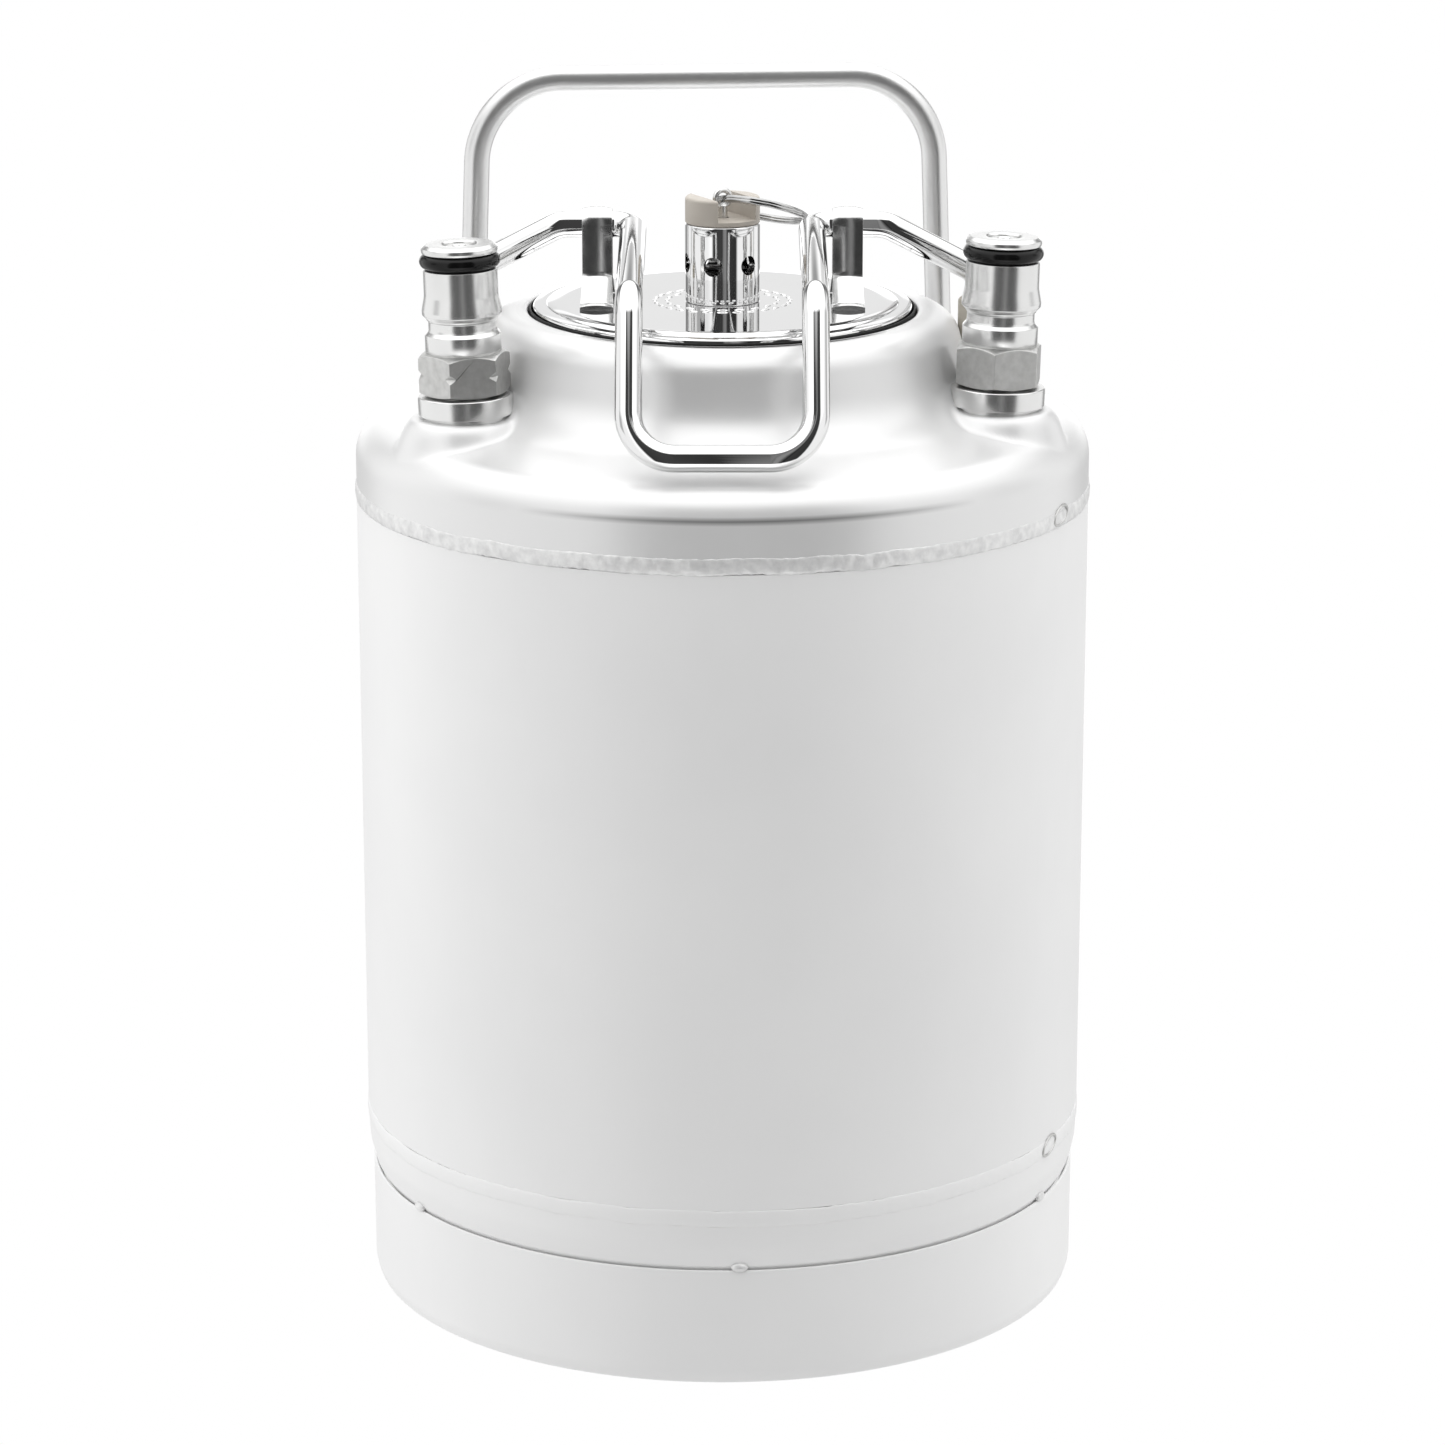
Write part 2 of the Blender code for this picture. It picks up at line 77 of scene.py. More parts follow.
# Vessel: sizes that the frame doesn't give
WALL = 1.2
NECK_R = 52.5
MOUTH = (44.4, 47.0)
BOSS_TOP = 210.8
BOSS_R = 12.8
BOSS_X, BOSS_Y = 59.8, -28.0
WELD_TURN = 31.0          # degrees from +X to where each weld bead starts and stops

# Lid group
LID_TOP = high("lid").z
BAIL_AXIS = Vector(JOINTS["bail_swing"]["axis"])
LID_TURN = math.atan2(BAIL_AXIS.y, BAIL_AXIS.x)
PIVOT_Z = JOINTS["bail_swing"]["pos_m"][2] / MM
EYE_Z = JOINTS["pull_ring_swing"]["pos_m"][2] / MM
WIRE_R = 3.0
CLIP_X = 28.4
BAIL_ARM_X = 20.2
BAIL_BAR = Vector((0, -75.5, 210.4))
BAIL_ELBOW = (-58.0, 242.0)
BOOT_X, BOOT_Y = 59.0, 4.5
BOOT_R = 5.2
BOOT_LOW = low("bail_boot_right").z
BOOT_HIGH = high("bail_boot_right").z
PRV_R = 8.5
PRV_TOP = high("prv_body").z
VENTS, VENT_R, VENT_Z = 6, 2.2, 240.0
CAP_TOP = high("prv_cap").z
CAP_FLOOR = 250.1
SLOT_TURN = math.radians(-62.0)
SLOT_WIDTH = 9.6
EYE_R = 1.9
RING_R = 10.5
RING_TURN = math.radians(28.0)
RING_TILT = math.radians(19.0)

# Posts, measured along their own leaning axes from the top of the boss
POST_MIDDLE = 22.6

# Rear handle
HANDLE_TOP = high("rear_handle").z - WIRE_R
HANDLE_FOOT_Z = low("rear_handle").z


# ------------------------------------------------------------------ mesh tools

def fillet(corners, steps=5, closed=False):
    """Round the corners (x, y, radius) of an outline with arcs; radius 0 stays sharp."""
    count = len(corners)
    outline = []
    for i, (x, y, radius) in enumerate(corners):
        corner = Vector((x, y))
        if not radius or (not closed and i in (0, count - 1)):
            outline.append(corner)
            continue
        back = (Vector(corners[i - 1][:2]) - corner).normalized()
        ahead = (Vector(corners[(i + 1) % count][:2]) - corner).normalized()
        half = back.angle(ahead) / 2
        centre = corner + (back + ahead).normalized() * radius / math.sin(half)
        start = corner + back * radius / math.tan(half) - centre
        end = corner + ahead * radius / math.tan(half) - centre
        span = start.angle_signed(end)
        for k in range(steps + 1):
            turn = -span * k / steps
            outline.append(centre + Matrix.Rotation(turn, 2) @ start)
    return outline


def dense(outline, step):
    """Add points along an outline so that none are further apart than step."""
    points = [outline[0]]
    for start, end in zip(outline, outline[1:]):
        parts = max(1, math.ceil((end - start).length / step))
        points += [start.lerp(end, k / parts) for k in range(1, parts + 1)]
    return points


def bridge(bm, lower, upper):
    count = max(len(lower), len(upper))
    for i in range(count):
        j = (i + 1) % count
        corners = [lower[i % len(lower)], lower[j % len(lower)],
                   upper[j % len(upper)], upper[i % len(upper)]]
        unique = [v for k, v in enumerate(corners) if v not in corners[:k]]
        if len(unique) > 2:
            bm.faces.new(unique)


def loft(bm, sections, sides, closed=True):
    """Skin sections, each a function from an angle to a point."""
    rows = []
    for section in sections:
        points = [section(2 * math.pi * i / sides) for i in range(sides)]
        if (points[0] - points[sides // 2]).length < 1e-6:
            points = points[:1]
        rows.append([bm.verts.new(point) for point in points])
    for lower, upper in zip(rows, rows[1:]):
        bridge(bm, lower, upper)
    if closed and len(rows[0]) > 1:
        bridge(bm, rows[-1], rows[0])


def circle(radius, z):
    return lambda a: Vector((radius * math.cos(a), radius * math.sin(a), z))


def mouth_oval(offset, z):
    return lambda a: Vector(((MOUTH[0] + offset) * math.cos(a),
                             (MOUTH[1] + offset) * math.sin(a), z))


def sweep(bm, path, radius, sides, closed=False):
    """Carry a round section along a path without twisting it, with softened ends."""
    count = len(path)
    ahead = [(path[(i + 1) % count] - path[i - 1]).normalized() for i in range(count)]
    if not closed:
        ahead[0] = (path[1] - path[0]).normalized()
        ahead[-1] = (path[-1] - path[-2]).normalized()
    side = ahead[0].orthogonal().normalized()
    rings = []
    for point, direction in zip(path, ahead):
        side = (side - direction * side.dot(direction)).normalized()
        other = direction.cross(side)
        rings.append([bm.verts.new(point + (side * math.cos(a) + other * math.sin(a)) * radius)
                      for a in (2 * math.pi * i / sides for i in range(sides))])
    for lower, upper in zip(rings, rings[1:]):
        bridge(bm, lower, upper)
    if closed:
        bridge(bm, rings[-1], rings[0])
    else:
        bm.faces.new(rings[0])
        bm.faces.new(rings[-1])


def rounded_path(corners, radii, steps):
    points = [corners[0]]
    for before, corner, after, radius in zip(corners, corners[1:], corners[2:], radii):
        back = (before - corner).normalized()
        ahead = (after - corner).normalized()
        half = back.angle(ahead) / 2
        centre = corner + (back + ahead).normalized() * radius / math.sin(half)
        start = corner + back * radius / math.tan(half) - centre
        end = corner + ahead * radius / math.tan(half) - centre
        arc = start.angle(end)
        points += [centre + Matrix.Rotation(arc * k / steps, 3, start.cross(end)) @ start
                   for k in range(steps + 1)]
    points.append(corners[-1])
    return points


def add_piece(name, bm, material, place=Matrix(), sharp=40):
    bmesh.ops.recalc_face_normals(bm, faces=bm.faces)
    bmesh.ops.transform(bm, matrix=place, verts=bm.verts)
    bmesh.ops.scale(bm, vec=(MM, MM, MM), verts=bm.verts)
    mesh = bpy.data.meshes.new(name)
    bm.to_mesh(mesh)
    bm.free()
    mesh.shade_smooth()
    mesh.set_sharp_from_angle(angle=math.radians(sharp))
    mesh.materials.append(material)
    piece = bpy.data.objects.new(name, mesh)
    bpy.context.scene.collection.objects.link(piece)
    return piece


def turned(name, outline, material, place=Matrix(), sides=96, section=circle):
    """A turned piece from a closed outline, or from one that starts and ends on the axis."""
    bm = bmesh.new()
    loft(bm, [section(point.x, point.y) for point in outline], sides)
    return add_piece(name, bm, material, place)


def dress(piece, body, slot, *nodes):
    """Attach a new piece to what it rides on and hide the CAD nodes it stands for; slot is not
    used.
    """
    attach(piece, body)
    if nodes:
        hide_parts(*nodes)
    return piece


def cut(piece, bm, operation="DIFFERENCE"):
    """Cut a mesh in millimetres out of a piece, and keep only the result."""
    tool = add_piece(piece.name + "_tool", bm, piece.data.materials[0])
    modifier = piece.modifiers.new("cut", "BOOLEAN")
    modifier.operation = operation
    modifier.object = tool
    modifier.solver = "EXACT"
    graph = bpy.context.evaluated_depsgraph_get()
    mesh = bpy.data.meshes.new_from_object(piece.evaluated_get(graph))
    piece.modifiers.clear()
    piece.data = mesh
    mesh.shade_smooth()
    mesh.set_sharp_from_angle(angle=math.radians(40))
    bpy.data.objects.remove(tool)


def soften(piece, width):
    """Round a piece's sharp edges for good."""
    modifier = piece.modifiers.new("edges", "BEVEL")
    modifier.width = width * MM
    modifier.segments = 3
    modifier.limit_method = "ANGLE"
    modifier.angle_limit = math.radians(40)
    modifier.use_clamp_overlap = True
    weighted = piece.modifiers.new("normals", "WEIGHTED_NORMAL")
    weighted.weight = 90
    weighted.keep_sharp = True
    graph = bpy.context.evaluated_depsgraph_get()
    mesh = bpy.data.meshes.new_from_object(piece.evaluated_get(graph))
    piece.modifiers.clear()
    piece.data = mesh


def cylinder(bm, radius, z_low, z_high, sides, place=Matrix()):
    lift = Matrix.Translation((0, 0, (z_low + z_high) / 2))
    bmesh.ops.create_cone(bm, cap_ends=True, segments=sides, radius1=radius, radius2=radius,
                          depth=z_high - z_low, matrix=place @ lift)


# ------------------------------------------------------------------ materials

def new_material(name, colour, roughness, metallic):
    material = bpy.data.materials.new(name)
    material.use_nodes = True
    shader = material.node_tree.nodes["Principled BSDF"]
    shader.inputs["Base Color"].default_value = (*colour, 1.0)
    shader.inputs["Roughness"].default_value = roughness
    shader.inputs["Metallic"].default_value = metallic
    return material, shader


def add_node(tree, kind, **settings):
    node = tree.nodes.new(kind)
    for name, value in settings.items():
        setattr(node, name, value)
    return node


def noise_node(tree, vector, scale, detail, squash=(1.0, 1.0, 1.0)):
    """Noise over a stretched copy of some coordinates; returns the height output."""
    mapping = add_node(tree, "ShaderNodeMapping")
    mapping.inputs["Scale"].default_value = squash
    texture = add_node(tree, "ShaderNodeTexNoise")
    texture.inputs["Scale"].default_value = scale
    texture.inputs["Detail"].default_value = detail
    tree.links.new(vector, mapping.inputs["Vector"])
    tree.links.new(mapping.outputs["Vector"], texture.inputs["Vector"])
    return texture.outputs["Fac"]


def remap(tree, value, out_low, out_high, in_low=0.3, in_high=0.7):
    node = add_node(tree, "ShaderNodeMapRange")
    node.inputs["From Min"].default_value = in_low
    node.inputs["From Max"].default_value = in_high
    node.inputs["To Min"].default_value = out_low
    node.inputs["To Max"].default_value = out_high
    tree.links.new(value, node.inputs["Value"])
    return node.outputs["Result"]


def tint(tree, value, dark, light):
    """A colour between dark and light, chosen by a value from 0 to 1."""
    node = add_node(tree, "ShaderNodeMix", data_type="RGBA")
    node.inputs["A"].default_value = (*dark, 1.0)
    node.inputs["B"].default_value = (*light, 1.0)
    tree.links.new(value, node.inputs["Factor"])
    return node.outputs["Result"]


def bump(tree, shader, height, distance, strength=1.0):
    node = add_node(tree, "ShaderNodeBump")
    node.inputs["Distance"].default_value = distance * MM
    node.inputs["Strength"].default_value = strength
    tree.links.new(height, node.inputs["Height"])
    tree.links.new(node.outputs["Normal"], shader.inputs["Normal"])


def steel(name, dark, light, rough_low, rough_high, squash, scale, grain, patch=18.0,
          metallic=1.0):
    """Stainless steel: directional grain, and slow changes of tone and polish.

    A blasted or pickled surface scatters light, which a lower metallic value stands for.
    """
    material, shader = new_material(name, light, rough_low, metallic)
    tree = material.node_tree
    place = add_node(tree, "ShaderNodeTexCoord").outputs["Object"]
    slow = noise_node(tree, place, patch, 3.0)
    fine = noise_node(tree, place, scale, 4.0, squash)
    tree.links.new(tint(tree, remap(tree, slow, 0.0, 1.0), dark, light),
                   shader.inputs["Base Color"])
    tree.links.new(remap(tree, fine, rough_low, rough_high), shader.inputs["Roughness"])
    bump(tree, shader, fine, grain)
    return material


def paint_bend_reflection(material, height):
    """Painted reflection: darken a thin band low on the outer bend, at the front only, where the
    bend shows a dark reflection.
    """
    tree = material.node_tree
    shader = tree.nodes["Principled BSDF"]
    colour = shader.inputs["Base Color"].links[0].from_socket
    place = add_node(tree, "ShaderNodeTexCoord").outputs["Object"]
    parts = add_node(tree, "ShaderNodeSeparateXYZ")
    tree.links.new(place, parts.inputs["Vector"])
    above = remap(tree, parts.outputs["Z"], 0.0, 1.0, (height - 1.0) * MM, height * MM)
    below = remap(tree, parts.outputs["Z"], 1.0, 0.0, height * MM, (height + 1.0) * MM)
    # front-only mask for the painted dark reflection
    front = remap(tree, parts.outputs["Y"], 0.8, 0.0, -BODY_R * MM, -0.8 * BODY_R * MM)
    share = front
    for factor in (above, below):
        step = add_node(tree, "ShaderNodeMath", operation="MULTIPLY")
        tree.links.new(share, step.inputs[0])
        tree.links.new(factor, step.inputs[1])
        share = step.outputs["Value"]
    # mix the painted dark reflection into the base colour
    line = add_node(tree, "ShaderNodeMix", data_type="RGBA")
    line.inputs["B"].default_value = (0.1, 0.1, 0.1, 1.0)
    tree.links.new(share, line.inputs["Factor"])
    tree.links.new(colour, line.inputs["A"])
    tree.links.new(line.outputs["Result"], shader.inputs["Base Color"])


def soft(name, dark, light, roughness, grain, scale, specular=0.5):
    """Rubber or moulded plastic: a fine pebbled skin and faint mottling."""
    material, shader = new_material(name, light, roughness, 0.0)
    shader.inputs["Specular IOR Level"].default_value = specular
    tree = material.node_tree
    place = add_node(tree, "ShaderNodeTexCoord").outputs["Object"]
    slow = noise_node(tree, place, scale * 0.1, 2.0)
    fine = noise_node(tree, place, scale, 3.0)
    tree.links.new(tint(tree, remap(tree, slow, 0.0, 1.0), dark, light),
                   shader.inputs["Base Color"])
    tree.links.new(remap(tree, fine, roughness * 0.85, roughness * 1.15),
                   shader.inputs["Roughness"])
    bump(tree, shader, fine, grain)
    return material


SATIN = steel("satin_steel", (0.83, 0.83, 0.83), (0.87, 0.87, 0.868), 0.50, 0.60,
              (1.0, 1.0, 0.10), 900.0, 0.0015, metallic=0.10)
STAMPED = steel("stamped_steel", (0.76, 0.76, 0.76), (0.80, 0.80, 0.798), 0.33, 0.37,
                (1.0, 1.0, 1.0), 500.0, 0.0, metallic=0.34)
# painted reflection: a dark band on the shoulder's outer bend, at the front
paint_bend_reflection(STAMPED, 198.4)
WELD = steel("weld_steel", (0.68, 0.68, 0.68), (0.85, 0.85, 0.845), 0.34, 0.52,
             (1.0, 1.0, 1.0), 900.0, 0.09, patch=500.0, metallic=0.3)
ROD = steel("handle_steel", (0.70, 0.70, 0.70), (0.76, 0.76, 0.755), 0.32, 0.38,
            (1.0, 1.0, 1.0), 900.0, 0.0, metallic=0.9)
MACHINED = steel("machined_steel", (0.69, 0.69, 0.685), (0.75, 0.75, 0.745), 0.22, 0.26,
                 (0.15, 0.15, 1.0), 2400.0, 0.001, metallic=0.9)
FACETS = steel("facet_steel", (0.50, 0.50, 0.49), (0.60, 0.60, 0.59), 0.32, 0.42,
               (1.0, 1.0, 1.0), 1500.0, 0.012, patch=600.0, metallic=0.7)
POLISHED = steel("polished_steel", (0.74, 0.74, 0.74), (0.78, 0.78, 0.78), 0.03, 0.06,
                 (1.0, 1.0, 1.0), 60.0, 0.001)
STRAP = steel("strap_steel", (0.66, 0.66, 0.66), (0.74, 0.74, 0.735), 0.14, 0.20,
              (1.0, 1.0, 1.0), 300.0, 0.004, patch=200.0)
RING_STEEL = steel("ring_steel", (0.34, 0.34, 0.34), (0.44, 0.44, 0.435), 0.08, 0.14,
                   (1.0, 1.0, 1.0), 300.0, 0.001, patch=300.0)
BLACK_RUBBER = soft("black_rubber", (0.003, 0.003, 0.003), (0.006, 0.006, 0.006), 0.16,
                    0.001, 1500.0, specular=0.22)
GASKET_RUBBER = soft("gasket_rubber", (0.005, 0.005, 0.005), (0.010, 0.010, 0.010), 0.5,
                     0.006, 1500.0, specular=0.2)
BOOT_RUBBER = soft("boot_rubber", (0.44, 0.41, 0.35), (0.50, 0.47, 0.41), 0.5, 0.01, 1200.0)
CAP_PLASTIC = soft("cap_plastic", (0.47, 0.43, 0.38), (0.51, 0.47, 0.415), 0.42, 0.006, 900.0)


# ------------------------------------------------------------------ vessel

def skirt():
    outline = fillet([
        (SKIRT_R - 0.05, 2.6, 6), (SKIRT_R, SKIRT_TOP - 1.5, 0), (SKIRT_R - 0.15, SKIRT_TOP, 0.3),
        (81.25, 25.3, 0.3), (81.3, 24.0, 0), (81.3, 2.6, 2), (80.4, 0.0, 0.4), (82.0, 0.0, 1.2)],
        closed=True)
    dress(turned("skirt", outline, SATIN, sides=240), "vessel", "body_steel", "base_skirt")


def tack_welds():
    """Six small beads that hold the skirt to the bottom dome."""
    count, first = 6, -92.0
    bm = bmesh.new()
    for k in range(count):
        angle = math.radians(first + 360.0 / count * k)
        place = (Matrix.Rotation(angle, 4, "Z") @ Matrix.Translation((SKIRT_R - 0.3, 0, SKIRT_TOP))
                 @ Matrix.Diagonal((0.9, 1.9, 1.1, 1.0)))
        made = bmesh.ops.create_icosphere(bm, subdivisions=3, radius=1.0, matrix=place)
        for vertex in made["verts"]:
            vertex.co += vertex.co.normalized() * 0.15 * noise.noise(vertex.co * 1.4)
    dress(add_piece("tack_welds", bm, WELD), "vessel", "weld_steel")


def lower_dome():
    top = low("bottom_weld").z - 0.05
    outline = fillet([
        (BODY_R, top, 0), (BODY_R - 0.3, 33.0, 12), (BODY_R - 1.5, SKIRT_TOP + 0.35, 0.2),
        (80.9, 25.5, 1), (74.0, 18.5, 6), (52.0, 11.0, 40), (0.0, 7.0, 0)], steps=8)
    bm = bmesh.new()
    loft(bm, [circle(point.x, point.y) for point in outline], 240, closed=False)
    dress(add_piece("lower_dome", bm, SATIN), "vessel", "body_steel", "bottom_dome")


def shell():
    outline = fillet([
        (BODY_R, SHELL_LOW, 0.2), (BODY_R - WALL, SHELL_LOW, 0), (BODY_R - WALL, SHELL_HIGH, 0),
        (BODY_R, SHELL_HIGH, 0.2)], closed=True)
    dress(turned("shell", outline, SATIN, sides=288), "vessel", "body_steel", "body_shell")


def weld_bead(name, node, proud, ripple, material, finish):
    """A hand-laid bead: an arched strip with ripples, dips and a wandering edge.

    It reaches a little way into the wall, so that no gap shows beside it.
    """
    bottom, top = low(node).z, high(node).z
    middle, half = (bottom + top) / 2, (top - bottom) / 2 + 0.35
    sides, rows, root = 900, 9, 0.988
    bm = bmesh.new()
    strips = []
    for row in range(rows + 1):
        arch = math.pi * row / rows
        strip = []
        for i in range(sides):
            angle = 2 * math.pi * i / sides
            spot = Vector((math.cos(angle), math.sin(angle), 0.0)) * BODY_R
            wander = 0.35 * noise.noise(spot * 0.10 + Vector((0, 0, bottom)))
            beat = noise.noise(spot * 0.8 + Vector((0, 0, row * 0.45)))
            crest = math.sin(arch)
            reach = BODY_R - 0.05 + crest * (proud + ripple * beat)
            z = middle + wander + math.cos(arch) * half * (1 + 0.12 * beat)
            strip.append(bm.verts.new((reach * math.cos(angle), reach * math.sin(angle), z)))
        strips.append(strip)
    inner, back = [[bm.verts.new((vertex.co.x * root, vertex.co.y * root, vertex.co.z))
                    for vertex in strip] for strip in (strips[0], strips[-1])]
    rings = [inner] + strips + [back]
    for lower, upper in zip(rings, rings[1:]):
        bridge(bm, lower, upper)
    bridge(bm, back, inner)
    dress(add_piece(name, bm, material, sharp=70), "vessel", finish, node)


def weld_ends():
    """The loops left where each bead starts and stops."""
    half_width, half_height, slant, steps = 3.6, 1.9, 0.7, 30
    bm = bmesh.new()
    for z in ((low("top_weld").z + high("top_weld").z) / 2 + 0.8,
              (low("bottom_weld").z + high("bottom_weld").z) / 2 + 0.4):
        middle = math.radians(-WELD_TURN)
        path = []
        for k in range(steps):
            turn = 2 * math.pi * k / steps
            angle = middle + half_width * math.cos(turn) / BODY_R
            path.append(Vector(((BODY_R + 0.1) * math.cos(angle), (BODY_R + 0.1) * math.sin(angle),
                                z + half_height * math.sin(turn) + slant * math.cos(turn))))
        sweep(bm, path, 0.38, 8, closed=True)
    dress(add_piece("weld_ends", bm, FACETS), "vessel", "weld_steel")


def boss_height(x, y):
    """Top surface of the two pressed bosses under the posts, far below it elsewhere."""
    rounding, fall = 1.4, 0.5
    away = min(math.hypot(x - s * BOSS_X, y - BOSS_Y) for s in (-1, 1))
    past = max(0.0, away - BOSS_R + rounding)
    return BOSS_TOP - fall * past * past


def smooth_max(a, b, blend):
    """The larger of two heights, rounded over where they are nearly equal."""
    share = max(blend - abs(a - b), 0.0) / blend
    return max(a, b) + share * share * blend / 4


def shoulder():
    """Shoulder, bosses and neck in one stamped sheet, with its rolled oval mouth."""
    outside = dense(fillet([
        (BODY_R, DOME_LOW - 0.2, 0), (BODY_R, 203.8, 9.0), (57.6, 209.6, 14.5),
        (NECK_R + 0.3, NECK_TOP - 0.2, 7.3), (47.0, NECK_TOP - 0.2, 0)], steps=16), 0.55)
    sides = 720
    bm = bmesh.new()
    rows = []
    for point in outside:
        row = []
        for i in range(sides):
            angle = 2 * math.pi * i / sides
            x, y, z = point.x * math.cos(angle), point.x * math.sin(angle), point.y
            if NECK_R + 0.3 < point.x and z > 196.0:
                z = smooth_max(z, boss_height(x, y), 3.0)
            row.append(bm.verts.new((x, y, z)))
        rows.append(row)
    lip = [mouth_oval(1.3, NECK_TOP), mouth_oval(0.35, NECK_TOP - 0.12),
           mouth_oval(0.0, NECK_TOP - 0.5), mouth_oval(0.0, NECK_TOP - 1.6)]
    inside = [circle(r, z) for r, z in (
        (48.9, 227.5), (NECK_R - 1.5, 224.5), (NECK_R - 1.5, 212.6), (56.8, 208.3),
        (74.8, 203.0), (80.6, 199.4), (BODY_R - WALL, 196.0), (BODY_R - WALL, DOME_LOW - 0.2))]
    for section in lip + inside:
        rows.append([bm.verts.new(section(2 * math.pi * i / sides)) for i in range(sides)])
    for lower, upper in zip(rows, rows[1:]):
        bridge(bm, lower, upper)
    bridge(bm, rows[-1], rows[0])
    dress(add_piece("shoulder", bm, STAMPED, sharp=60), "vessel", "body_steel", "top_dome")


def carrying_handle():
    """Bent rod with a ring of small weld beads round each foot."""
    top_x = high("rear_handle").x - WIRE_R - 2.5
    foot_x = high("rear_handle").x - WIRE_R
    y = (low("rear_handle").y + high("rear_handle").y) / 2
    corners = [Vector((-foot_x, y, HANDLE_FOOT_Z)), Vector((-top_x, y, HANDLE_TOP)),
               Vector((top_x, y, HANDLE_TOP)), Vector((foot_x, y, HANDLE_FOOT_Z))]
    bm = bmesh.new()
    sweep(bm, rounded_path(corners, [20.0, 20.0], 28), WIRE_R, 32)
    dress(add_piece("carrying_handle", bm, ROD), "vessel", "handle_steel", "rear_handle")
    beads, reach, slope = 14, 3.2, 0.29
    bm = bmesh.new()
    for side in (-1, 1):
        for k in range(beads):
            angle = 2 * math.pi * k / beads
            spot = Vector((side * foot_x + reach * math.cos(angle), y + reach * math.sin(angle), 0))
            drop = (spot.xy.length - 57.0) * slope
            place = (Matrix.Translation((spot.x, spot.y, 210.0 - drop + 0.6))
                     @ Matrix.Diagonal((1.25, 1.25, 0.95, 1.0)))
            bmesh.ops.create_icosphere(bm, subdivisions=2, radius=1.0, matrix=place)
    dress(add_piece("handle_welds", bm, WELD), "vessel", "weld_steel")


# ------------------------------------------------------------------ lid group

LID_PLACE = Matrix.Rotation(LID_TURN, 4, "Z")


def lid_plate():
    under = LID_TOP - 1.6
    outline = fillet([
        (-4.6, LID_TOP, 0.6), (-4.3, LID_TOP - 0.35, 0.3), (-3.2, LID_TOP - 0.3, 1.0),
        (-1.2, LID_TOP - 0.55, 0.55), (-1.15, 226.0, 0), (-1.1, 222.2, 0.5), (2.9, 221.9, 0.4),
        (2.9, 220.3, 0.4), (-2.7, 220.3, 0.5), (-3.0, 228.6, 0.8), (-4.2, under, 0)], steps=5)
    sections = [circle(6.2, LID_TOP)]
    sections += [mouth_oval(-38.0 + 4.2 * k, LID_TOP) for k in range(8)]
    sections += [mouth_oval(point.x, point.y) for point in outline]
    sections += [circle(6.2, under)]
    bm = bmesh.new()
    loft(bm, sections, 240)
    dress(add_piece("lid_plate", bm, POLISHED, LID_PLACE, sharp=50), "lid_group",
          "polished_steel", "lid")


def lid_marks():
    """Two plain rings of small raised dashes round the valve, standing for the embossing."""
    bm = bmesh.new()
    for radius, count, length in ((12.6, 20, 1.3), (15.4, 28, 1.3)):
        for k in range(count):
            angle = 2 * math.pi * k / count
            place = (Matrix.Rotation(angle, 4, "Z") @ Matrix.Translation((radius, 0, LID_TOP))
                     @ Matrix.Diagonal((0.55, length, 0.28, 1.0)))
            bmesh.ops.create_icosphere(bm, subdivisions=2, radius=1.0, matrix=place)
    dress(add_piece("lid_marks", bm, POLISHED, LID_PLACE), "lid_group", "polished_steel")


def gasket():
    outline = fillet([(-0.75, 223.2, 0.8), (-0.75, 229.8, 0.1), (-0.4, 229.7, 0.1),
                      (-0.4, 227.3, 0.1),
                      (1.8, 227.3, 0.8), (3.0, 224.8, 1.0), (3.0, 223.2, 0.6), (1.4, 222.5, 0.6)],
                     closed=True)
    piece = turned("gasket", outline, GASKET_RUBBER, LID_PLACE, 200, mouth_oval)
    dress(piece, "lid_group", "black_rubber", "lid_gasket")


def clip(side, node):
    """Strap bent over the bail wire, a little crowned across, with flared feet on the lid."""
    inner, thick, foot = WIRE_R + 0.12, 0.95, LID_TOP + 0.02
    middle = inner + thick / 2
    centre_line = rounded_path([
        Vector((0, -12.6, foot + 0.5)), Vector((0, -9.2, foot + 0.5)),
        Vector((0, -middle - 0.1, foot + 6.4)), Vector((0, -middle, PIVOT_Z))],
        [1.4, 3.0], 6)
    arch = [Vector((0, -middle * math.cos(a), PIVOT_Z + middle * math.sin(a)))
            for a in (math.pi * k / 20 for k in range(1, 20))]
    back_line = [Vector((0, -p.y, p.z)) for p in reversed(centre_line)]
    back_line[-1].y = 8.5
    path = centre_line + arch + back_line
    width, rise = 3.4, 0.45
    crown = [(x, rise * (1 - x * x)) for x in (k / 4 - 1 for k in range(9))]
    bm = bmesh.new()
    rows = []
    for i, point in enumerate(path):
        before, after = path[max(i - 1, 0)], path[min(i + 1, len(path) - 1)]
        along = (after - before).normalized()
        across = Vector((0, -along.z, along.y))
        flare = width + 0.45 * max(0.0, 1 - (point.z - foot) / 3.0)
        rows.append([bm.verts.new(point + Vector((x * flare, 0, 0)) - across * (thick / 2))
                     for x, _ in crown]
                    + [bm.verts.new(point + Vector((x * flare, 0, 0))
                                    + across * (thick / 2 - 0.35 + up))
                       for x, up in reversed(crown)])
    for lower, upper in zip(rows, rows[1:]):
        bridge(bm, lower, upper)
    bm.faces.new(rows[0])
    bm.faces.new(rows[-1])
    place = LID_PLACE @ Matrix.Translation((CLIP_X * side, 0, 0))
    piece = add_piece(node.replace("bail_", "") + "_strap", bm, STRAP, place, sharp=30)
    soften(piece, 0.22)
    dress(piece, "lid_group", "polished_steel", node)


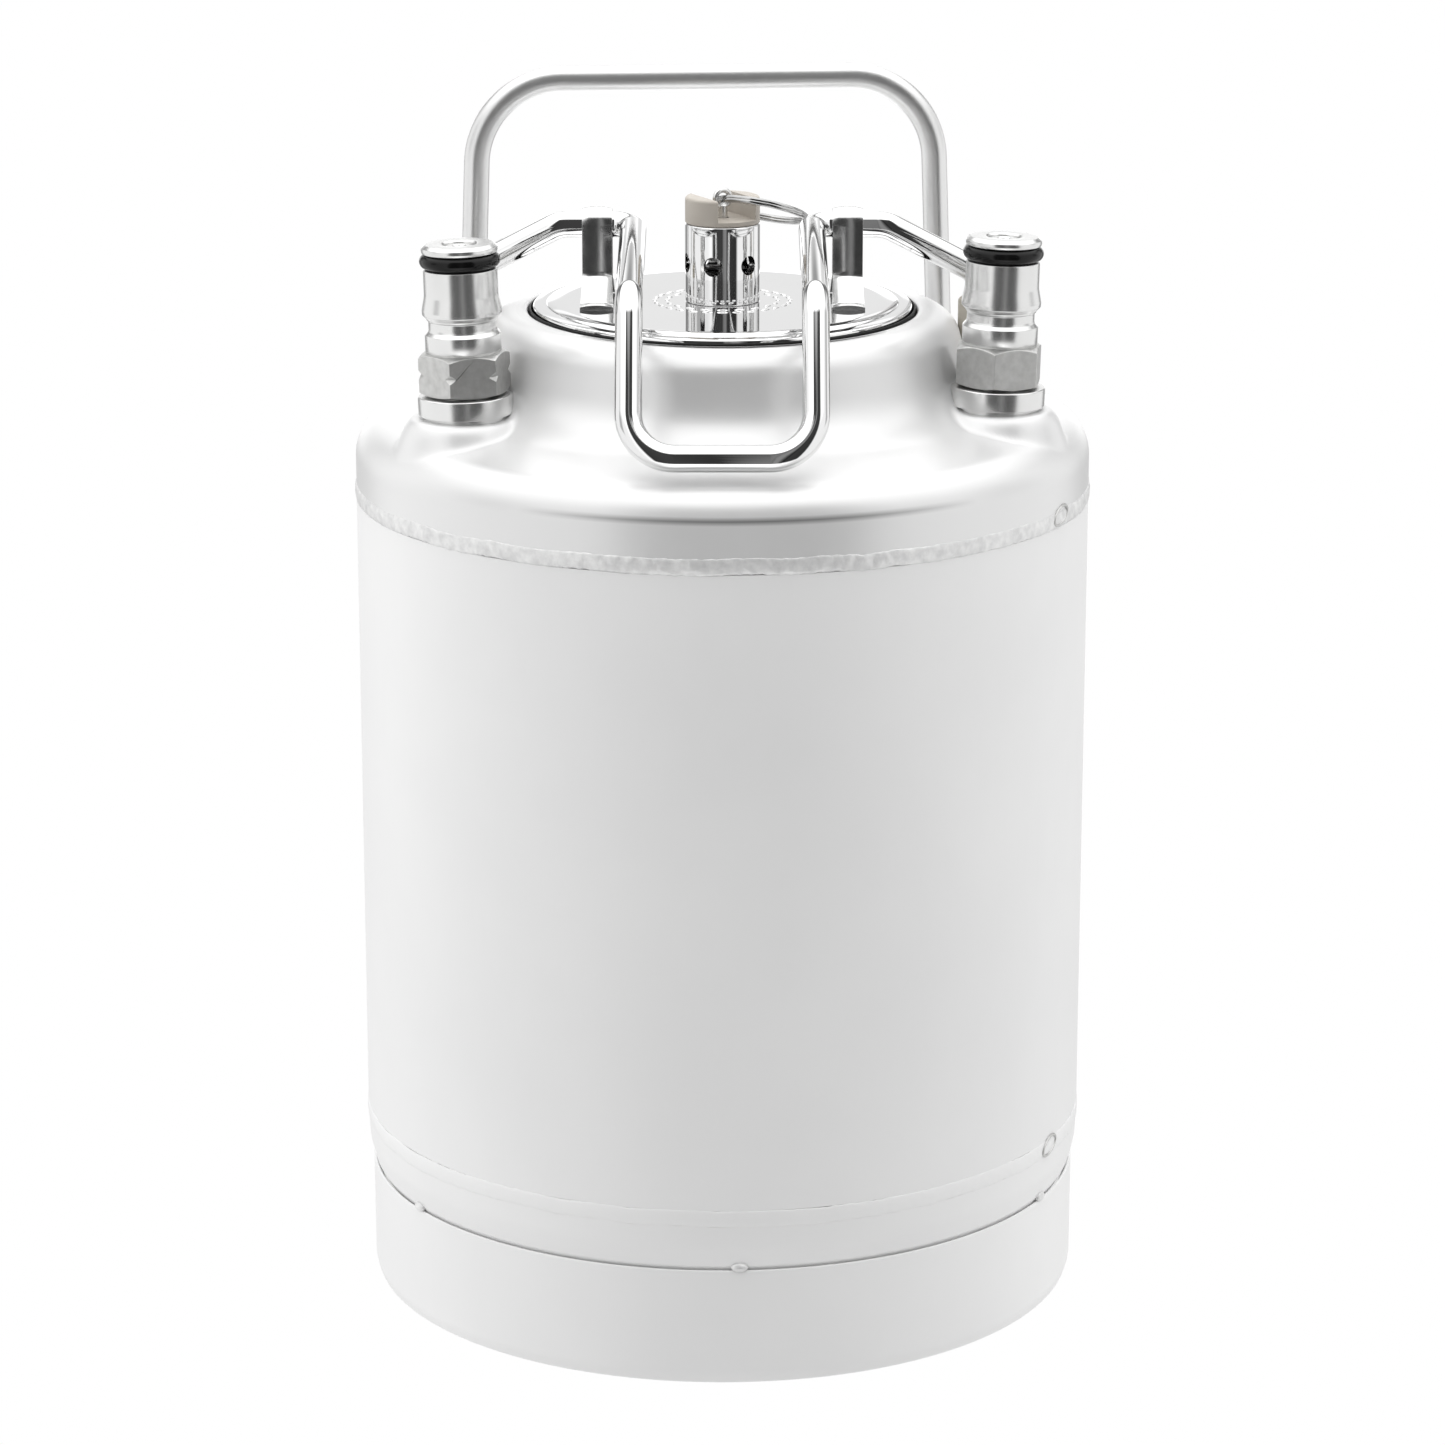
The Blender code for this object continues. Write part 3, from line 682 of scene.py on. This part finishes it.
def bail_wire():
    half = [BAIL_BAR, Vector((BAIL_ARM_X, BAIL_BAR.y, BAIL_BAR.z)),
            Vector((BAIL_ARM_X, *BAIL_ELBOW)), Vector((BAIL_ARM_X, 0, PIVOT_Z)),
            Vector((37.0, 0, PIVOT_Z)), Vector((BOOT_X, BOOT_Y, 236.5)),
            Vector((BOOT_X, BOOT_Y, BOOT_LOW + 4.0))]
    right = rounded_path(half, [10.0, 8.0, 4.8, 8.0, 6.0], 16)
    left = [Vector((-p.x, p.y, p.z)) for p in reversed(right[1:])]
    bm = bmesh.new()
    sweep(bm, left + right[1:], WIRE_R, 32)
    dress(add_piece("bail_wire", bm, POLISHED, LID_PLACE), "bail_group", "polished_steel", "bail")


def boot(side, node):
    outline = fillet([
        (0.0, BOOT_LOW, 0), (BOOT_R, BOOT_LOW, 1.4), (BOOT_R - 0.1, BOOT_HIGH, 1.0),
        (WIRE_R + 0.1, BOOT_HIGH, 0.4), (WIRE_R + 0.1, BOOT_LOW + 3.6, 0),
        (0.0, BOOT_LOW + 3.6, 0)])
    place = LID_PLACE @ Matrix.Translation((BOOT_X * side, BOOT_Y, 0))
    name = node.replace("bail_", "") + "_sleeve"
    dress(turned(name, outline, BOOT_RUBBER, place, 48), "bail_group", "beige_rubber", node)


# ------------------------------------------------------------------ relief valve

RING_AXIS = Vector(JOINTS["pull_ring_swing"]["axis"])
RING_FLAT = RING_AXIS.cross(Vector((0, 0, 1))).normalized()
RING_REACH = Vector((math.cos(RING_TILT) * math.cos(LID_TURN + RING_TURN),
                     math.cos(RING_TILT) * math.sin(LID_TURN + RING_TURN), -math.sin(RING_TILT)))


def valve_body():
    seat = LID_TOP + 4.0
    outline = fillet([
        (PRV_R, LID_TOP + 0.02, 0.3), (PRV_R, PRV_TOP, 0.5), (6.7, PRV_TOP, 0.2), (6.7, seat, 0.4),
        (2.2, seat, 0.2), (2.2, 223.2, 0.2), (5.8, 223.2, 0.6), (5.8, LID_TOP + 0.02, 0)],
        closed=True)
    piece = turned("valve_body", dense(outline, 1.2), POLISHED, LID_PLACE, 96)
    bm = bmesh.new()
    for k in range(VENTS):
        turn = Matrix.Rotation(math.radians(360 / VENTS * k + 15), 4, "Z")
        side = turn @ Matrix.Translation((0, 0, VENT_Z)) @ Matrix.Rotation(math.pi / 2, 4, "Y")
        cylinder(bm, VENT_R, 5.5, 10.5, 31, LID_PLACE @ side)
    cut(piece, bm)
    soften(piece, 0.12)
    dress(piece, "lid_group", "polished_steel", "prv_body")


def valve_cap():
    outline = fillet([
        (PRV_R, PRV_TOP + 0.05, 0.2), (PRV_R, CAP_TOP, 0.7), (1.5, CAP_TOP, 0.2), (1.5, 246.6, 0.2),
        (6.4, 246.6, 0.4), (6.4, PRV_TOP + 0.05, 0)], closed=True)
    piece = turned("valve_cap", outline, CAP_PLASTIC, LID_PLACE, 96)
    bm = bmesh.new()
    turn = Matrix.Rotation(LID_TURN + SLOT_TURN, 4, "Z")
    shape = Matrix.Diagonal((30.0, SLOT_WIDTH, 2 * (CAP_TOP - CAP_FLOOR), 1.0))
    bmesh.ops.create_cube(bm, size=1.0, matrix=turn @ Matrix.Translation((0, 0, CAP_TOP)) @ shape)
    cut(piece, bm)
    soften(piece, 0.35)
    dress(piece, "lid_group", "beige_plastic", "prv_cap")


def valve_stem():
    """Stem with a round eye at its top, which the ring passes through."""
    seat = LID_TOP + 4.0
    wire_r, steps = 0.62, 48
    outline = fillet([
        (0.0, seat - 2.0, 0), (1.8, seat - 2.0, 0.2), (1.8, seat - 0.1, 0.1),
        (1.15, seat - 0.1, 0.1), (1.15, EYE_Z - 1.6, 0), (0.0, EYE_Z - 1.6, 0)])
    bm = bmesh.new()
    loft(bm, [circle(point.x, point.y) for point in outline], 32)
    stem = add_piece("valve_stem", bm, MACHINED)
    bm = bmesh.new()
    up = Vector((0, 0, 1))
    eye = [up * EYE_Z + (RING_FLAT * math.cos(a) + up * math.sin(a)) * EYE_R
           for a in (2 * math.pi * k / steps for k in range(steps))]
    sweep(bm, eye, wire_r, 16, closed=True)
    cut(stem, bm, "UNION")
    dress(stem, "relief_stem", "machined_steel", "prv_stem")


def key_ring():
    """A split ring: two turns of thin wire lying on each other, with blunt ends."""
    centre = Vector((0, 0, EYE_Z)) + RING_REACH * RING_R
    normal = RING_REACH.cross(RING_AXIS).normalized()
    wire_r, turns, steps = 0.58, 2.15, 220
    start, last = math.radians(60), 0.93
    path = []
    for k in range(steps + 1):
        share = k / steps
        angle = start + 2 * math.pi * turns * share
        rise = (0.5 - share) * 2 * wire_r * 1.04
        # the last end of the wire springs away from the other turn
        spring = 0.5 * max(0.0, (share - last) / 0.07)
        path.append(centre - (RING_REACH * math.cos(angle) - RING_AXIS * math.sin(angle))
                    * RING_R + normal * (rise - spring))
    bm = bmesh.new()
    sweep(bm, path, wire_r, 16)
    dress(add_piece("key_ring", bm, RING_STEEL), "pull_ring", "polished_steel", "pull_ring")


# ------------------------------------------------------------------ posts

def post_place(prefix):
    """Placing matrix of a post, from its CAD node and the axis of its poppet."""
    axis = Vector(JOINTS[prefix + "_poppet_press"]["axis"]).normalized()
    middle = (low(prefix + "_post") + high(prefix + "_post")) / 2
    lean = Vector((0, 0, 1)).rotation_difference(axis).to_matrix().to_4x4()
    return Matrix.Translation(middle - axis * POST_MIDDLE) @ lean


def fitting(prefix, place):
    outline = fillet([
        (10.65, 0.9, 0.15), (10.65, 5.2, 0.35), (6.8, 5.2, 0), (6.8, 13.0, 0.3), (4.4, 13.0, 0),
        (4.4, -4.0, 0), (7.6, -4.0, 0), (7.6, -0.6, 0), (9.8, -0.6, 0), (9.8, 0.9, 0)],
        closed=True)
    dress(turned(prefix + "_collar", outline, MACHINED, place, 96), "vessel", "machined_steel",
          prefix + "_fitting")


def hexagon_body(prefix, place, phase, notched):
    """Hexagon with turned chamfers; a gas post also has its corners nicked."""
    half = 9.0
    reach = half / math.cos(math.pi / 6)
    bm = bmesh.new()
    cylinder(bm, reach, 5.6, 14.9, 6, Matrix.Rotation(phase, 4, "Z"))
    piece = add_piece(prefix + "_post_hexagon", bm, FACETS)
    chamfer = bmesh.new()
    outline = fillet([
        (0.0, 5.0, 0), (half - 0.1, 5.0, 0), (half - 0.1, 5.6, 0), (reach + 0.15, 6.25, 0),
        (reach + 0.15, 13.7, 0), (half - 0.35, 14.9, 0), (half - 0.35, 16.0, 0), (0.0, 16.0, 0)])
    loft(chamfer, [circle(point.x, point.y) for point in outline], 96)
    cut(piece, chamfer, "INTERSECT")
    if notched:
        ring = bmesh.new()
        nick = fillet([(half + 0.65, 10.2, 0), (half + 2.4, 7.6, 0), (half + 2.4, 12.8, 0)])
        loft(ring, [circle(point.x, point.y) for point in nick], 96)
        cut(piece, ring)
    bore = bmesh.new()
    cylinder(bore, 7.1, 4.0, 17.0, 64)
    cut(piece, bore)
    soften(piece, 0.22)
    # back to millimetres, onto the post's leaning axis, and to metres again
    piece.data.transform(Matrix.Scale(1 / MM, 4))
    piece.data.transform(place)
    piece.data.transform(Matrix.Scale(MM, 4))
    dress(piece, "vessel", "machined_steel")


def post_barrel(prefix, place):
    """Turned upper part: lower band, latch groove, flared lip, seal groove and rim."""
    outline = fillet([
        (8.2, 14.6, 0), (8.45, 14.9, 0), (8.45, 18.9, 0.3), (7.75, 19.7, 0.3), (7.55, 20.2, 0.2),
        (7.55, 21.9, 0.35), (7.9, 22.2, 0.15), (8.0, 22.5, 0.2), (8.85, 23.4, 0.4),
        (8.9, 24.3, 0.6), (8.25, 27.6, 2.5), (8.22, 33.4, 0.25), (7.3, 33.6, 0.1), (7.3, 37.0, 0.1),
        (8.35, 37.0, 0.3), (8.5, 37.6, 0.2), (8.45, 38.3, 0.4), (7.6, 39.0, 0.5), (4.1, 39.0, 0.25),
        (3.75, 38.6, 0.2), (3.7, 36.8, 0), (5.6, 36.3, 0), (5.6, 17.0, 0), (7.1, 17.0, 0),
        (7.1, 14.6, 0)], closed=True)
    piece = turned(prefix + "_post_barrel", outline, MACHINED, place, 128)
    dress(piece, "vessel", "machined_steel", prefix + "_post")


def post_seal(prefix, place):
    ring, height, radius, steps = 7.28, 35.3, 1.72, 24
    outline = [Vector((ring + radius * math.cos(a), height + radius * math.sin(a)))
               for a in (2 * math.pi * k / steps for k in range(steps))]
    dress(turned(prefix + "_post_seal", outline, BLACK_RUBBER, place, 96), "vessel",
          "black_rubber", prefix + "_post_o_ring")


def poppet(prefix, place):
    outline = fillet([
        (0.0, 26.0, 0), (1.5, 26.0, 0.2), (1.5, 33.2, 0.2), (4.9, 33.4, 0.2), (4.9, 35.6, 0.2),
        (3.35, 36.2, 0.1), (3.35, 38.3, 0.4), (1.5, 38.6, 0.5), (1.2, 38.0, 0.3), (0.0, 37.9, 0)])
    dress(turned(prefix + "_valve_poppet", outline, MACHINED, place, 64), prefix + "_poppet",
          "machined_steel", prefix + "_poppet")


def posts():
    for prefix, phase, notched in (("gas", -20.0, True), ("liquid", -13.0, False)):
        place = post_place(prefix)
        fitting(prefix, place)
        hexagon_body(prefix, place, math.radians(phase), notched)
        post_barrel(prefix, place)
        post_seal(prefix, place)
        poppet(prefix, place)


def inner_pieces():
    """Pieces hidden inside keep their CAD shape and get a finished surface."""
    finishes = {
        "prv_nut": MACHINED, "prv_seal": GASKET_RUBBER, "prv_spring": ROD,
        "gas_poppet_spring": ROD, "liquid_poppet_spring": ROD, "gas_dip_tube": MACHINED,
        "liquid_dip_tube": MACHINED, "gas_dip_tube_o_ring": BLACK_RUBBER,
        "liquid_dip_tube_o_ring": BLACK_RUBBER}
    for node, material in finishes.items():
        mesh = frame["nodes"][node].data
        mesh.materials.clear()
        mesh.materials.append(material)


# ------------------------------------------------------------------ studio

CAMERA_TURN = math.radians(-4.66)
CAMERA_AWAY = 1109.0
CAMERA_UP = 434.0
CAMERA_PITCH = 15.27
LENS = 122.8
SKY_LOW = 1.93
SKY_HIGH = 2.05
GROUND = 0.6              # brightness straight below, against the rest of the sky

# Darker panels: heading and half width in degrees, lowest and highest point as the height of
# a unit vector, depth, and how softly the sides (degrees) and the top (height) fade.
PANELS = (
    # on the camera's side, for the dark stripes in the polished wire
    (-14, 17, -0.55, 0.78, 0.97, 3.0, 0.05),
    (9, 8, -0.55, 0.78, 0.85, 3.0, 0.05),
    (29, 16, -0.55, 0.78, 0.97, 3.0, 0.05),
    # grey side walls, for the shading of the body
    (90, 62, -1.2, 0.6, 0.42, 20.0, 0.2),
    (-90, 62, -1.2, 0.6, 0.42, 20.0, 0.2),
    # narrow strips, for lines along the edges
    (-78, 9, 0.0, 0.38, 0.5, 3.0, 0.05),
    (100, 8, 0.0, 0.38, 0.5, 3.0, 0.05),
    (-146, 8, -0.6, 0.5, 0.7, 3.0, 0.05),
    (148, 8, -0.6, 0.5, 0.7, 3.0, 0.05),
    # behind the keg, for outlines and for the grey of the lid
    (180, 28, -0.42, -0.1, 0.75, 8.0, 0.05),
    (180, 46, 0.1, 0.32, 0.52, 12.0, 0.05),
    (180, 60, 0.36, 0.5, 0.8, 12.0, 0.05),
)


class Sky:
    """White tent round the keg, with darker panels placed by heading and height."""

    def __init__(self):
        world = bpy.data.worlds.new("studio")
        bpy.context.scene.world = world
        world.use_nodes = True
        self.tree = world.node_tree
        self.tree.nodes.clear()
        self.place = add_node(self.tree, "ShaderNodeTexCoord").outputs["Generated"]
        parts = add_node(self.tree, "ShaderNodeSeparateXYZ")
        self.tree.links.new(self.place, parts.inputs["Vector"])
        self.height = parts.outputs["Z"]
        self.level = self.times(
            remap(self.tree, self.height, SKY_LOW, SKY_HIGH, -0.2, 0.9),
            remap(self.tree, self.height, GROUND, 1.0, -0.95, -0.6))

    def times(self, first, second):
        node = add_node(self.tree, "ShaderNodeMath", operation="MULTIPLY")
        self.tree.links.new(first, node.inputs[0])
        self.tree.links.new(second, node.inputs[1])
        return node.outputs["Value"]

    def panel(self, heading, half_width, lowest, highest, depth, edge, soft_top):
        """Darken a patch; headings run from the camera's side towards +X, in degrees."""
        angle = math.radians(heading - 90) + CAMERA_TURN
        level = add_node(self.tree, "ShaderNodeVectorMath", operation="MULTIPLY")
        level.inputs[1].default_value = (1, 1, 0)
        unit = add_node(self.tree, "ShaderNodeVectorMath", operation="NORMALIZE")
        dot = add_node(self.tree, "ShaderNodeVectorMath", operation="DOT_PRODUCT")
        dot.inputs[1].default_value = (math.cos(angle), math.sin(angle), 0.0)
        self.tree.links.new(self.place, level.inputs[0])
        self.tree.links.new(level.outputs["Vector"], unit.inputs[0])
        self.tree.links.new(unit.outputs["Vector"], dot.inputs[0])
        wide = math.cos(math.radians(half_width + edge))
        narrow = math.cos(math.radians(half_width - edge))
        inside = remap(self.tree, dot.outputs["Value"], 0.0, 1.0, wide, narrow)
        under = remap(self.tree, self.height, 1.0, 0.0, highest - soft_top, highest + soft_top)
        over = remap(self.tree, self.height, 0.0, 1.0, lowest - 0.05, lowest + 0.05)
        inside = self.times(inside, self.times(under, over))
        self.level = self.times(self.level, remap(self.tree, inside, 1.0, 1.0 - depth, 0.0, 1.0))

    def finish(self):
        """The camera itself sees plain white behind the keg."""
        tree = self.tree
        light = add_node(tree, "ShaderNodeBackground")
        light.inputs["Color"].default_value = (1, 1, 1, 1)
        tree.links.new(self.level, light.inputs["Strength"])
        white = add_node(tree, "ShaderNodeBackground")
        white.inputs["Color"].default_value = (1, 1, 1, 1)
        ray = add_node(tree, "ShaderNodeLightPath")
        mix = add_node(tree, "ShaderNodeMixShader")
        tree.links.new(ray.outputs["Is Camera Ray"], mix.inputs["Fac"])
        tree.links.new(light.outputs["Background"], mix.inputs[1])
        tree.links.new(white.outputs["Background"], mix.inputs[2])
        out = add_node(tree, "ShaderNodeOutputWorld")
        tree.links.new(mix.outputs["Shader"], out.inputs["Surface"])


def studio():
    sky = Sky()
    for heading, half_width, lowest, highest, depth, edge, soft_top in PANELS:
        sky.panel(heading, half_width, lowest, highest, depth, edge, soft_top)
    sky.finish()


def camera():
    data = bpy.data.cameras.new("camera")
    data.lens = LENS
    data.sensor_width = 36.0
    data.clip_end = 20.0
    eye = bpy.data.objects.new("camera", data)
    bpy.context.scene.collection.objects.link(eye)
    back = Vector((math.sin(CAMERA_TURN), -math.cos(CAMERA_TURN), 0)) * CAMERA_AWAY
    eye.location = (back + Vector((0, 0, CAMERA_UP))) * MM
    eye.rotation_euler = (math.radians(90 - CAMERA_PITCH), 0, CAMERA_TURN)
    bpy.context.scene.camera = eye


def colour_management():
    view = bpy.context.scene.view_settings
    view.view_transform = "Standard"
    view.look = "None"
    view.exposure = 0.0


camera()
studio()
colour_management()
skirt()
tack_welds()
lower_dome()
weld_bead("lower_bead", "bottom_weld", 0.25, 0.07, SATIN, "body_steel")
shell()
weld_bead("upper_bead", "top_weld", 0.35, 0.2, WELD, "weld_steel")
weld_ends()
shoulder()
carrying_handle()
lid_plate()
lid_marks()
gasket()
clip(-1, "bail_clip_left")
clip(1, "bail_clip_right")
bail_wire()
boot(-1, "bail_boot_left")
boot(1, "bail_boot_right")
valve_body()
valve_cap()
valve_stem()
key_ring()
posts()
inner_pieces()
